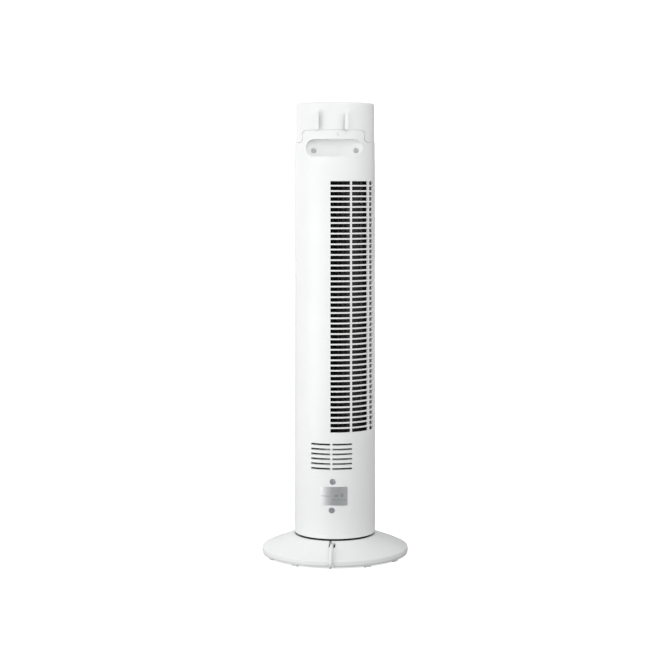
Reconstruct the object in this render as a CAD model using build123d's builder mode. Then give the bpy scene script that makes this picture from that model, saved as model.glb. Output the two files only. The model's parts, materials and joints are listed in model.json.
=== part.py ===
"""Tower fan on a round two-piece base, modelled as separate parts.

Millimetres.  +Z is up, the fan stands on z = 0 and turns about the Z axis.
The outlet faces -Y, so +Y is the rear.  Angles called "rear angles" are measured
from the rear centre line (+Y) towards -X, in degrees.
"""

import os
from math import acos, cos, pi, radians, sin, tan

from build123d import *

os.makedirs("parts", exist_ok=True)

# ---------------------------------------------------------------- driving dimensions
TOTAL_HEIGHT = 760.0
CLEARANCE = 0.3            # air between parts that move past each other
SEAM = 0.4                 # width of a visible joint line between mouldings
WALL = 2.4                 # moulded wall of the tower shells
BASE_WALL = 2.6            # moulded wall of the base

# tower shells: the outer radius shrinks slowly with height
TOWER_BOTTOM = 38.2
SHOULDER_Z = 655.0         # above this the rear housing draws in towards the cap
TONGUE_TOP = 714.5         # the rear housing's tongue ends here
HOUSING_TOP = 695.0        # the rest of the housings ends here
BOTTOM_RADIUS = 68.4
SHOULDER_RADIUS = 66.3
TONGUE_RADIUS = 65.5
FRONT_PROUD = 0.5          # the front housing stands out from the rear one by this much
FRONT_BOTTOM = 48.3
SPLIT_Y = 2.0              # plane where front and rear housings meet
CAP_RADIUS = 65.1

# intake grille in the rear housing
SLOT_ROWS = 48
SLOT_TOP_Z = 628.4
SLOT_PITCH = 8.69
SLOT_HEIGHT = 6.2
INTAKE_COLUMNS = [(-3.05, 25.75), (28.3, 57.6), (61.5, 73.7)]

# outlet in the front housing, rear angles
OUTLET_HALF_ANGLE = 38.0
OUTLET_BOTTOM = 208.0
OUTLET_TOP = 638.0
OUTLET_COLUMNS = 4

# lower vents behind the motor
VENT_ROWS = 6
VENT_TOP_Z = 197.0
VENT_PITCH = 8.12
VENT_HEIGHT = 3.6
VENT_COLUMNS = [(-32.5, -3.2), (-0.1, 28.7)]

# finger recess in the rear housing
GRIP_WIDTH = 93.4
GRIP_HEIGHT = 28.5
GRIP_CENTRE = (-1.6, 685.8)        # x, z
GRIP_FLOOR_Y = 40.5
GRIP_FLOOR_RADIUS = 250.0
GRIP_SEAT_Y = 41.8          # the handle screws' heads sit here
GRIP_SCREWS = [(-37.2, 681.5), (32.4, 681.5)]

# screws in the lower rear
REAR_SCREWS = [(-0.3, 134.4), (1.3, 86.2)]

# remote holder rails on the cap
RAIL_CENTRES = (-23.5, 25.3)
RAIL_WIDTH = 6.0
RAIL_FACE_Y = 70.0
RAIL_BOTTOM = 714.9
RAIL_TOP = 743.3

# base
BASE_RADIUS = 124.5
FOOT_HEIGHT = 3.0
DECK_TOP = 31.0
DECK_BOTTOM = 28.4
DECK_BORE = 40.0
LIP_INNER = 67.0
LIP_OUTER = 69.6
LIP_TOP = 34.8
SLOPE_END = (112.0, 18.6)          # r, z
RIM_EDGE = (123.9, 12.9)
RIM_FOOT = (123.3, FOOT_HEIGHT)
RIM_BELLY_Z = 6.5
FOOT_COUNT = 12
FOOT_PLACE = 119.6         # radius of the pads' middles
CORD_HOLE_WIDTH = 11.0
CORD_HOLE = (70.4, 87.5)           # from and to, radius
LIP_NOTCH = (3.5, 4.0)             # centre and width along X
CORD_NOTCH_WIDTH = 8.0
CORD_NOTCH_TOP = 7.6

# pivot and oscillation drive
POST_RADIUS = 12.0
POST_BORE = 6.5
POST_TOP = 47.0
NUT_THREAD_RADIUS = 10.0
GEAR_MODULE = 1.0
GEAR_TEETH = 48
PINION_TEETH = 12
GEAR_Z = (37.0, 42.0)
SWING_LIMIT = 35.0
TURNTABLE_Z = 33.2
CHASSIS_Z = 50.0
CHASSIS_THICKNESS = 2.5

# motor and impeller
MOTOR_MIDDLE = 169.0
CORE_HALF = 11.0
SHAFT_RADIUS = 4.0
MOTOR_BOLT_RADIUS = 40.6
BULKHEAD_Z = 204.0
IMPELLER_BOTTOM = 212.0
IMPELLER_TOP = 632.0
IMPELLER_RADIUS = 42.0
IMPELLER_BLADES = 28
UPPER_BULKHEAD_Z = 636.0

# controls
PANEL_RADIUS = 50.0
PANEL_TOP = 759.2
PANEL_BOTTOM = 756.2
BUTTON_Y = -24.0
BUTTON_PITCH = 15.0
BUTTON_RADIUS = 5.5
BUTTON_NAMES = ["power_button", "speed_button", "mode_button", "timer_button", "swing_button"]

# mains lead
CORD_RADIUS = 3.0
COIL_RADII = (28.0, 34.1, 40.2)
COIL_LAYERS_Z = (4.1, 10.2)
SCREW_HEAD = 3.3


# ---------------------------------------------------------------- small helpers
def save(piece, node):
    """Label a finished part and write it as one STEP file."""
    piece.part.label = node
    export_step(piece.part, f"parts/{node}.step")


def tower_radius(z):
    """Outer radius of the rear housing at height z."""
    if z <= SHOULDER_Z:
        share = (z - TOWER_BOTTOM) / (SHOULDER_Z - TOWER_BOTTOM)
        return BOTTOM_RADIUS + share * (SHOULDER_RADIUS - BOTTOM_RADIUS)
    share = (z - SHOULDER_Z) / (TONGUE_TOP - SHOULDER_Z)
    return SHOULDER_RADIUS + share * (TONGUE_RADIUS - SHOULDER_RADIUS)


def slope_z(radius):
    """Height of the base's sloping top at a radius."""
    share = (radius - LIP_OUTER) / (SLOPE_END[0] - LIP_OUTER)
    return LIP_TOP + share * (SLOPE_END[1] - LIP_TOP)


def polygon_face(points):
    """Private face from a closed list of points."""
    with BuildSketch(mode=Mode.PRIVATE) as face:
        with BuildLine():
            Polyline(*points, close=True)
        make_face()
    return face.sketch


def sector(inner, outer, start, end):
    """Private face between two radii and two rear angles."""
    with BuildSketch(mode=Mode.PRIVATE) as face:
        with BuildLine():
            CenterArc((0, 0), inner, 90 + start, end - start)
            CenterArc((0, 0), outer, 90 + start, end - start)
            for angle in (90 + start, 90 + end):
                direction = Vector(cos(radians(angle)), sin(radians(angle)))
                Line(direction * inner, direction * outer)
        make_face()
    return face.sketch


def ring_solid(inner, outer, bottom, top):
    """Private plain ring."""
    with BuildPart(mode=Mode.PRIVATE) as ring:
        with BuildSketch(Plane.XY.offset(bottom)):
            Circle(outer)
            Circle(inner, mode=Mode.SUBTRACT)
        extrude(amount=top - bottom)
    return ring.part


def rear_screw(x, head_y, z, length, head_radius=SCREW_HEAD):
    """Private pan head screw whose head faces +Y, with a cross recess."""
    with BuildPart(mode=Mode.PRIVATE) as screw:
        with BuildSketch(Plane.XZ.offset(-head_y)):
            with Locations((x, z)):
                Circle(head_radius)
        extrude(amount=2.2)
        fillet(screw.edges().group_by(Axis.Y)[-1], 0.9)
        with BuildSketch(Plane.XZ.offset(-head_y + 2.2)):
            with Locations((x, z)):
                Circle(1.9)
        extrude(amount=length)
        with BuildSketch(Plane.XZ.offset(-head_y)):
            with Locations((x, z)):
                Rectangle(3.6, 0.8)
                Rectangle(0.8, 3.6)
        extrude(amount=1.2, mode=Mode.SUBTRACT)
    return screw.part


def upright_screw(x, y, head_z, length, radius=1.9, head_radius=SCREW_HEAD, up=True):
    """Private screw along Z whose head faces up, or down when up is False."""
    away = -1 if up else 1
    with BuildPart(mode=Mode.PRIVATE) as screw:
        with BuildSketch(Plane.XY.offset(head_z)):
            with Locations((x, y)):
                Circle(head_radius)
        extrude(amount=2.0 * away)
        with BuildSketch(Plane.XY.offset(head_z + 2.0 * away)):
            with Locations((x, y)):
                Circle(radius)
        extrude(amount=length * away)
        with BuildSketch(Plane.XY.offset(head_z)):
            with Locations((x, y)):
                Rectangle(3.4, 0.8)
                Rectangle(0.8, 3.4)
        extrude(amount=1.1 * away, mode=Mode.SUBTRACT)
    return screw.part


def involute_points(base_radius, start_radius, end_radius, steps=6):
    """Points of an involute, as (radius, polar angle) pairs from its start."""
    points = []
    for step in range(steps + 1):
        radius = start_radius + (end_radius - start_radius) * step / steps
        pressure = acos(min(1.0, base_radius / radius))
        points.append((radius, tan(pressure) - pressure))
    return points


def gear_tooth(teeth, addendum, root_radius, centre_angle, backlash=0.25):
    """Private face of one involute tooth, centred on a polar angle in degrees."""
    pitch_radius = GEAR_MODULE * teeth / 2
    base_radius = pitch_radius * cos(radians(20))
    pitch_pressure = tan(radians(20)) - radians(20)
    half = (pi * GEAR_MODULE / 2 - backlash) / 2 / pitch_radius
    flank = involute_points(base_radius, max(base_radius, root_radius), pitch_radius + addendum)
    right = [(radius, -half - pitch_pressure + turn) for radius, turn in flank]
    left = [(radius, half + pitch_pressure - turn) for radius, turn in reversed(flank)]
    inside = root_radius - 0.6
    outline = [(inside, right[0][1])] + right + left + [(inside, left[-1][1])]
    centre = radians(centre_angle)
    return polygon_face([(r * cos(a + centre), r * sin(a + centre)) for r, a in outline])


# ---------------------------------------------------------------- base shells
BASE_PROFILE = [
    (DECK_BORE, DECK_TOP), (LIP_INNER, DECK_TOP), (LIP_INNER, LIP_TOP), (LIP_OUTER, LIP_TOP),
    SLOPE_END, RIM_EDGE, (BASE_RADIUS, RIM_BELLY_Z), RIM_FOOT,
    (RIM_FOOT[0] - BASE_WALL, FOOT_HEIGHT), (BASE_RADIUS - BASE_WALL - 0.3, RIM_BELLY_Z),
    (RIM_EDGE[0] - BASE_WALL + 0.4, RIM_EDGE[1] - BASE_WALL + 0.6),
    (SLOPE_END[0] - 1.0, SLOPE_END[1] - BASE_WALL - 0.2),
    (LIP_OUTER - 0.6, DECK_BOTTOM + 3.0), (LIP_OUTER - 0.6, DECK_BOTTOM), (DECK_BORE, DECK_BOTTOM),
]


RIB_PROFILE = [(74, 25.5), (74, 30.6), (110, 17.2), (110, 11.5)]


def base_half(side):
    """Private half shell of the base; side is +1 for the +X half and -1 for the other."""
    with BuildPart(mode=Mode.PRIVATE) as half:
        with BuildSketch(Plane.XZ) as profile:
            add(polygon_face(BASE_PROFILE))
            for corner, radius in ((SLOPE_END, 22.0), (RIM_EDGE, 2.0), ((BASE_RADIUS, RIM_BELLY_Z), 3.0),
                                   ((LIP_OUTER, LIP_TOP), 1.0), ((LIP_INNER, LIP_TOP), 0.6)):
                nearest = profile.vertices().sort_by_distance(Vector(corner[0], corner[1]))[0]
                fillet(nearest, radius)
        revolve(axis=Axis.Z)
        # radial ribs below the slope
        for index in range(10):
            with BuildSketch(Plane.XZ.rotated((0, 0, 18 + 36 * index))):
                add(polygon_face(RIB_PROFILE))
            extrude(amount=0.9, both=True)
        with BuildSketch(Plane.XY.offset(FOOT_HEIGHT)):
            with Locations((0, (CORD_HOLE[0] + CORD_HOLE[1]) / 2)):
                RectangleRounded(CORD_HOLE_WIDTH, CORD_HOLE[1] - CORD_HOLE[0], 2.0)
        extrude(amount=LIP_TOP, mode=Mode.SUBTRACT)
        # the hole reaches through the lip on one side of the cord
        with BuildSketch(Plane.XY.offset(DECK_TOP)):
            with Locations((LIP_NOTCH[0], 70)):
                Rectangle(LIP_NOTCH[1], 8)
        extrude(amount=8, mode=Mode.SUBTRACT)
        with BuildSketch(Plane.XZ.offset(-110)):
            with Locations((0, FOOT_HEIGHT)):
                RectangleRounded(CORD_NOTCH_WIDTH, 2 * (CORD_NOTCH_TOP - FOOT_HEIGHT), 1.5)
        extrude(amount=-20, mode=Mode.SUBTRACT)
        with BuildSketch(Plane.XY.offset(DECK_BOTTOM)):
            with PolarLocations(48, 6):
                Circle(2.0)
        extrude(amount=DECK_TOP - DECK_BOTTOM, mode=Mode.SUBTRACT)
        with BuildSketch(Plane.XY):
            with Locations((-side * 100 + side * SEAM / 4, 0)):
                Rectangle(200, 300)
        extrude(amount=60, mode=Mode.SUBTRACT)
    return half.part


with BuildPart() as base_left_half:
    add(base_half(1))
save(base_left_half, "base_left_half")

with BuildPart() as base_right_half:
    add(base_half(-1))
save(base_right_half, "base_right_half")

# rubber pads under the rim; the one at the rear centre is left out for the cord
with BuildPart() as rubber_feet:
    with BuildSketch(Plane.XY):
        for index in range(1, FOOT_COUNT):
            with PolarLocations(FOOT_PLACE, 1, start_angle=90 + index * 360 / FOOT_COUNT):
                RectangleRounded(6.4, 12.0, 2.6)
    extrude(amount=FOOT_HEIGHT)
save(rubber_feet, "rubber_feet")

# ---------------------------------------------------------------- hub, pivot and slide ring
HUB_Z = DECK_BOTTOM - 3.0
with BuildPart() as base_hub:
    with BuildSketch(Plane.XY.offset(HUB_Z)):
        Circle(56)
    extrude(amount=DECK_BOTTOM - HUB_Z)
    with BuildSketch(Plane.XY.offset(DECK_BOTTOM)):
        Circle(DECK_BORE - CLEARANCE)
    extrude(amount=DECK_TOP - DECK_BOTTOM)
    with BuildSketch(Plane.XY.offset(DECK_TOP)):
        Circle(POST_RADIUS)
    extrude(amount=GEAR_Z[0] - DECK_TOP)
    with BuildSketch(Plane.XY.offset(GEAR_Z[0])):
        Circle(NUT_THREAD_RADIUS)
    extrude(amount=POST_TOP - GEAR_Z[0])
    # two stops that end the swing, on the side away from the drive
    with BuildSketch(Plane.XY.offset(DECK_TOP)):
        add(sector(27, 36, SWING_LIMIT + 8.5, SWING_LIMIT + 15))
        add(sector(27, 36, -SWING_LIMIT - 15, -SWING_LIMIT - 8.5))
    extrude(amount=1.8)
    Hole(POST_BORE)
    with BuildSketch(Plane.XY.offset(HUB_Z)):
        with PolarLocations(48, 6):
            Circle(2.0)
    extrude(amount=DECK_BOTTOM - HUB_Z, mode=Mode.SUBTRACT)
save(base_hub, "base_hub")

with BuildPart() as base_screws:
    for index in range(6):
        angle = radians(60 * index)
        add(upright_screw(48 * cos(angle), 48 * sin(angle), HUB_Z - 2.0, 5.2, up=False))
save(base_screws, "base_screws")

with BuildPart() as slide_ring:
    add(ring_solid(46, 61, DECK_TOP, TURNTABLE_Z - 0.2))
    with BuildSketch(Plane.XY.offset(DECK_TOP + 1.0)):
        with PolarLocations(53.5, 24):
            Rectangle(12, 1.6)
    extrude(amount=1.0, mode=Mode.SUBTRACT)
save(slide_ring, "slide_ring")

# toothed sector, fixed on the post, facing the pinion in front of it
SECTOR_ROOT = GEAR_MODULE * GEAR_TEETH / 2 - 1.15
with BuildPart() as gear_sector:
    with BuildSketch(Plane.XY.offset(GEAR_Z[0])):
        Circle(17)
        add(sector(16, SECTOR_ROOT, 180 - 66, 180 + 66))
        for index in range(-8, 9):
            add(gear_tooth(GEAR_TEETH, 0.75, SECTOR_ROOT, 270 + index * 360 / GEAR_TEETH))
        Circle(NUT_THREAD_RADIUS, mode=Mode.SUBTRACT)
    extrude(amount=GEAR_Z[1] - GEAR_Z[0])
save(gear_sector, "gear_sector")

with BuildPart() as pivot_nut:
    with BuildSketch(Plane.XY.offset(GEAR_Z[1])):
        RegularPolygon(15.5, 6, major_radius=False)
        Circle(NUT_THREAD_RADIUS, mode=Mode.SUBTRACT)
    extrude(amount=POST_TOP - 0.4 - GEAR_Z[1])
    chamfer(pivot_nut.edges().group_by(Axis.Z)[-1].filter_by(GeomType.LINE), 0.8)
save(pivot_nut, "pivot_nut")

# ---------------------------------------------------------------- turntable and lower chassis
PIVOT_OFFSET = GEAR_MODULE * (GEAR_TEETH + PINION_TEETH) / 2
TURNTABLE_PROFILE = [
    (POST_RADIUS + 0.06, TURNTABLE_Z), (62.5, TURNTABLE_Z), (62.5, 40.0), (65.6, 40.0), (65.6, 42.5),
    (62.5, 42.5), (62.5, CHASSIS_Z), (59.5, CHASSIS_Z), (59.5, TURNTABLE_Z + 3.0),
    (POST_RADIUS + 0.06, TURNTABLE_Z + 3.0),
]
CHASSIS_BOLTS = [(45, 56.0), (135, 56.0), (225, 56.0), (315, 56.0)]
with BuildPart() as turntable:
    with BuildSketch(Plane.XZ):
        add(polygon_face(TURNTABLE_PROFILE))
    revolve(axis=Axis.Z)
    with BuildSketch(Plane.XY.offset(TURNTABLE_Z + 3.0)):
        with PolarLocations(56.0, 4, start_angle=45):
            Circle(4.2)
            Circle(1.6, mode=Mode.SUBTRACT)
    extrude(amount=CHASSIS_Z - TURNTABLE_Z - 3.0)
    # lug that meets the hub's stops
    with BuildSketch(Plane.XY.offset(TURNTABLE_Z - 1.6)):
        add(sector(28, 35, -7.5, 7.5))
    extrude(amount=1.6)
save(turntable, "turntable")

with BuildPart() as lower_chassis:
    with BuildSketch(Plane.XY.offset(CHASSIS_Z)):
        Circle(62.0)
        Circle(9.0, mode=Mode.SUBTRACT)
        with Locations((0, -PIVOT_OFFSET)):
            Circle(4.6, mode=Mode.SUBTRACT)
        with PolarLocations(56.0, 4, start_angle=45):
            Circle(2.1, mode=Mode.SUBTRACT)
    extrude(amount=CHASSIS_THICKNESS)
    with BuildSketch(Plane.XY.offset(CHASSIS_Z + CHASSIS_THICKNESS)):
        with Locations((-24, 20), (24, 20), (-24, 44), (24, 44)):
            Circle(3.0)
    extrude(amount=5.0)
save(lower_chassis, "lower_chassis")

DECK_LEVEL = CHASSIS_Z + CHASSIS_THICKNESS
with BuildPart() as chassis_screws:
    for angle, radius in CHASSIS_BOLTS:
        x = radius * cos(radians(angle))
        y = radius * sin(radians(angle))
        add(upright_screw(x, y, DECK_LEVEL + 2.0, 9.0, radius=1.6))
save(chassis_screws, "chassis_screws")

with BuildPart() as power_board:
    with BuildSketch(Plane.XY.offset(DECK_LEVEL + 5.0)):
        with Locations((0, 32)):
            RectangleRounded(58, 32, 2)
    extrude(amount=1.6)
    with BuildSketch(Plane.XY.offset(DECK_LEVEL + 6.6)):
        with Locations((-16, 36)):
            Rectangle(18, 12)
        with Locations((6, 38)):
            Circle(5)
        with Locations((20, 34)):
            Rectangle(10, 16)
        with Locations((0, 24)):
            Rectangle(30, 7)
    extrude(amount=9)
save(power_board, "power_board")

with BuildPart() as run_capacitor:
    with BuildSketch(Plane.XY.offset(DECK_LEVEL)):
        with Locations((43, -4)):
            RectangleRounded(15, 36, 2)
    extrude(amount=25)
    fillet(run_capacitor.edges().group_by(Axis.Z)[-1], 1.2)
save(run_capacitor, "run_capacitor")

# ---------------------------------------------------------------- oscillation drive
with BuildPart() as oscillation_motor:
    with BuildSketch(Plane.XY.offset(DECK_LEVEL)):
        with Locations((0, -PIVOT_OFFSET)):
            Circle(24.5)
    extrude(amount=15)
    fillet(oscillation_motor.edges().group_by(Axis.Z)[-1], 2.0)
    with BuildSketch(Plane.XY.offset(DECK_LEVEL)):
        with Locations((0, -PIVOT_OFFSET)):
            SlotOverall(66, 9)
    extrude(amount=1.2)
    with BuildSketch(Plane.XY.offset(DECK_LEVEL)):
        with Locations((0, -PIVOT_OFFSET)):
            Circle(3.45)
        with Locations((-29, -PIVOT_OFFSET), (29, -PIVOT_OFFSET)):
            Circle(1.9)
    extrude(amount=9, mode=Mode.SUBTRACT)
save(oscillation_motor, "oscillation_motor")

with BuildPart() as oscillation_motor_screws:
    for x in (-29, 29):
        add(upright_screw(x, -PIVOT_OFFSET, DECK_LEVEL + 3.2, 1.2, radius=1.85))
save(oscillation_motor_screws, "oscillation_motor_screws")

PINION_ROOT = GEAR_MODULE * PINION_TEETH / 2 - 1.15
with BuildPart() as oscillation_pinion:
    with BuildSketch(Plane.XY.offset(GEAR_Z[0] + 0.2)) as pinion_face:
        with Locations((0, -PIVOT_OFFSET)):
            Circle(PINION_ROOT)
            for index in range(PINION_TEETH):
                # a gap of the pinion faces the sector's middle tooth
                angle = 90 + (index + 0.5) * 360 / PINION_TEETH
                add(gear_tooth(PINION_TEETH, 0.85, PINION_ROOT, angle))
    extrude(amount=GEAR_Z[1] - GEAR_Z[0] - 0.2)
    with BuildSketch(Plane.XY.offset(GEAR_Z[1])):
        with Locations((0, -PIVOT_OFFSET)):
            Circle(3.4)
    extrude(amount=DECK_LEVEL + 8.5 - GEAR_Z[1])
save(oscillation_pinion, "oscillation_pinion")


# ---------------------------------------------------------------- tower shells
def shell_profile(extra, bottom, top, wall):
    """Private revolve profile of a tower shell that stands proud by extra."""
    heights = [bottom] + [z for z in (SHOULDER_Z,) if bottom < z < top] + [top]
    outer = [(tower_radius(z) + extra, z) for z in heights]
    inner = [(r - wall, z) for r, z in reversed(outer)]
    return polygon_face(outer + inner)


SLOT_LEVELS = [(0, 0, SLOT_TOP_Z - row * SLOT_PITCH) for row in range(SLOT_ROWS)]


def slot_row(columns):
    """Private solids of one row of grille slots, centred on z = 0."""
    with BuildPart(mode=Mode.PRIVATE) as row:
        with BuildSketch(Plane.XY.offset(-SLOT_HEIGHT / 2)):
            for start, end in columns:
                add(sector(60, 72, start, end))
        extrude(amount=SLOT_HEIGHT)
    return row.part


def tongue_outline(grow):
    """Private outline, in X and Z, of the rear housing's raised tongue."""
    low = HOUSING_TOP - 30.0
    top = TONGUE_TOP + grow
    foot = HOUSING_TOP + grow
    inner, outer = 44.5 + grow, 57.5 + grow
    middle_x, middle_z = (inner + outer) / 2, (top + foot) / 2
    with BuildSketch(mode=Mode.PRIVATE) as outline:
        with BuildLine():
            for side in (-1, 1):
                Line((side * 90, low), (side * 90, foot))
                Line((side * 90, foot), (side * outer, foot))
                TangentArc((side * outer, foot), (side * middle_x, middle_z), tangent=(-side, 0))
                TangentArc((side * inner, top), (side * middle_x, middle_z), tangent=(side, 0))
            Line((-90, low), (90, low))
            Line((-inner, top), (inner, top))
        make_face()
    return outline.sketch


def grip_region(grow):
    """Private solid of the finger recess, larger by grow on every side."""
    floor_y = GRIP_FLOOR_Y - grow
    with BuildPart(mode=Mode.PRIVATE) as region:
        with BuildSketch(Plane.XZ.offset(-20)):
            with Locations(GRIP_CENTRE):
                SlotOverall(GRIP_WIDTH + 2 * grow, GRIP_HEIGHT + 2 * grow)
        extrude(amount=-70)
        # the floor is a hollow arc, deepest at the middle
        with BuildSketch(Plane.XY.offset(GRIP_CENTRE[1] - 30)):
            with Locations((GRIP_CENTRE[0], floor_y + GRIP_FLOOR_RADIUS)):
                Circle(GRIP_FLOOR_RADIUS)
        extrude(amount=60, mode=Mode.INTERSECT)
    return region.part


with BuildPart() as rear_housing:
    with BuildSketch(Plane.XZ):
        add(shell_profile(0, TOWER_BOTTOM, TONGUE_TOP, WALL))
    revolve(axis=Axis.Z)
    # the front of the shell is open above the bottom ring
    with BuildSketch(Plane.XY.offset(FRONT_BOTTOM - SEAM)):
        with Locations((0, SPLIT_Y + SEAM / 2 - 100)):
            Rectangle(200, 200)
    extrude(amount=700, mode=Mode.SUBTRACT)
    with BuildSketch(Plane.XZ):
        add(tongue_outline(0))
        with Locations((0, 350)):
            Rectangle(180, 660)
    extrude(amount=-100, both=True, mode=Mode.INTERSECT)
    # the pocket that the fingers reach into
    with BuildPart(mode=Mode.PRIVATE) as pocket_wall:
        add(grip_region(WALL))
        with BuildSketch(Plane.XY.offset(GRIP_CENTRE[1] - 30)):
            Circle(tower_radius(GRIP_CENTRE[1]) - 1.0)
        extrude(amount=60, mode=Mode.INTERSECT)
    add(pocket_wall.part)
    with BuildPart(mode=Mode.PRIVATE) as grip_cut:
        add(grip_region(0))
    add(grip_cut.part, mode=Mode.SUBTRACT)
    # bosses and counterbores of the two lower screws
    for x, z in REAR_SCREWS:
        with BuildSketch(Plane.XZ.offset(-44)):
            with Locations((x, z)):
                Circle(7.2)
        extrude(amount=-22)
        with BuildSketch(Plane.XZ.offset(-(tower_radius(z) - 4.2))):
            with Locations((x, z)):
                Circle(5.1)
        extrude(amount=-8, mode=Mode.SUBTRACT)
        with BuildSketch(Plane.XZ.offset(-40)):
            with Locations((x, z)):
                Circle(2.0)
        extrude(amount=-30, mode=Mode.SUBTRACT)
    # screw seats in the recess's floor
    for x, z in GRIP_SCREWS:
        with BuildSketch(Plane.XZ.offset(12 - GRIP_SEAT_Y)):
            with Locations((x, z)):
                Circle(2.0)
        extrude(amount=-20, mode=Mode.SUBTRACT)
        with BuildSketch(Plane.XZ.offset(-GRIP_SEAT_Y)):
            with Locations((x, z)):
                Circle(4.6)
        extrude(amount=-20, mode=Mode.SUBTRACT)
    # intake slots
    with Locations(*SLOT_LEVELS):
        add(slot_row(INTAKE_COLUMNS), mode=Mode.SUBTRACT)
    # sloping slots of the lower vents
    for start, end in VENT_COLUMNS:
        with BuildSketch(Plane.XZ.rotated((0, 0, 90 + start))):
            for row in range(VENT_ROWS):
                z = VENT_TOP_Z - row * VENT_PITCH
                low, high = z - VENT_HEIGHT / 2, z + VENT_HEIGHT / 2
                add(polygon_face([(62, low + 1.4), (72, low - 2.0), (72, high - 2.0), (62, high + 1.4)]))
        revolve(axis=Axis.Z, revolution_arc=end - start, mode=Mode.SUBTRACT)
    # shallow mark above the cap's latch
    with BuildSketch(Plane.XZ.offset(-63.8)):
        with Locations((-8.5, 707)):
            RectangleRounded(2.4, 5.0, 0.8)
    extrude(amount=-10, mode=Mode.SUBTRACT)
save(rear_housing, "rear_housing")

def screw_post(x, z, end_y):
    """Private post from the front wall to end_y, drilled for a screw from the rear."""
    with BuildPart(mode=Mode.PRIVATE) as post:
        with BuildSketch(Plane.XZ.offset(70)):
            with Locations((x, z)):
                Circle(4.0)
        extrude(amount=-70 - end_y)
        with BuildSketch(Plane.XY.offset(z - 5)):
            Circle(tower_radius(z) + FRONT_PROUD - 1.2)
        extrude(amount=10, mode=Mode.INTERSECT)
        with BuildSketch(Plane.XZ.offset(-end_y)):
            with Locations((x, z)):
                Circle(1.9)
        extrude(amount=20, mode=Mode.SUBTRACT)
    return post.part


with BuildPart() as front_housing:
    with BuildSketch(Plane.XZ):
        add(shell_profile(FRONT_PROUD, FRONT_BOTTOM, HOUSING_TOP - SEAM, WALL + 0.2))
    revolve(axis=Axis.Z)
    with BuildSketch(Plane.XY.offset(FRONT_BOTTOM - 1)):
        with Locations((0, SPLIT_Y - SEAM / 2 + 100)):
            Rectangle(200, 200)
    extrude(amount=700, mode=Mode.SUBTRACT)
    # outlet window
    with BuildSketch(Plane.XY.offset(OUTLET_BOTTOM)):
        add(sector(50, 80, 180 - OUTLET_HALF_ANGLE, 180 + OUTLET_HALF_ANGLE))
    extrude(amount=OUTLET_TOP - OUTLET_BOTTOM, mode=Mode.SUBTRACT)
    # posts that take the screws from the rear
    grip_posts = [(spot, GRIP_SEAT_Y - 6) for spot in GRIP_SCREWS]
    low_posts = [(spot, 43.6) for spot in REAR_SCREWS]
    for (x, z), end_y in grip_posts + low_posts:
        add(screw_post(x, z, end_y))
save(front_housing, "front_housing")

with BuildPart() as handle_screws:
    for x, z in GRIP_SCREWS:
        add(rear_screw(x, GRIP_SEAT_Y + 2.6, z, 18.0))
save(handle_screws, "handle_screws")

with BuildPart() as rear_screws:
    for x, z in REAR_SCREWS:
        add(rear_screw(x, tower_radius(z) - 1.9, z, 34.0, 4.8))
save(rear_screws, "rear_screws")

# outlet grille: horizontal fins between upright bars
GRILLE_MARGIN = 0.35
OUTLET_STEP = 2 * (OUTLET_HALF_ANGLE - 3.0) / OUTLET_COLUMNS
OUTLET_STARTS = [180 - OUTLET_HALF_ANGLE + 3.9 + index * OUTLET_STEP for index in range(OUTLET_COLUMNS)]
OUTLET_SPANS = [(start, start + OUTLET_STEP - 1.8) for start in OUTLET_STARTS]
with BuildPart() as front_grille:
    with BuildSketch(Plane.XZ):
        add(shell_profile(FRONT_PROUD - 0.4, OUTLET_BOTTOM + CLEARANCE, OUTLET_TOP - CLEARANCE, WALL - 0.2))
    revolve(axis=Axis.Z)
    with BuildSketch(Plane.XY.offset(OUTLET_BOTTOM)):
        add(sector(50, 80, 180 - OUTLET_HALF_ANGLE + GRILLE_MARGIN, 180 + OUTLET_HALF_ANGLE - GRILLE_MARGIN))
    extrude(amount=OUTLET_TOP - OUTLET_BOTTOM, mode=Mode.INTERSECT)
    with Locations(*SLOT_LEVELS):
        add(slot_row(OUTLET_SPANS), mode=Mode.SUBTRACT)
save(front_grille, "front_grille")

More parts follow.
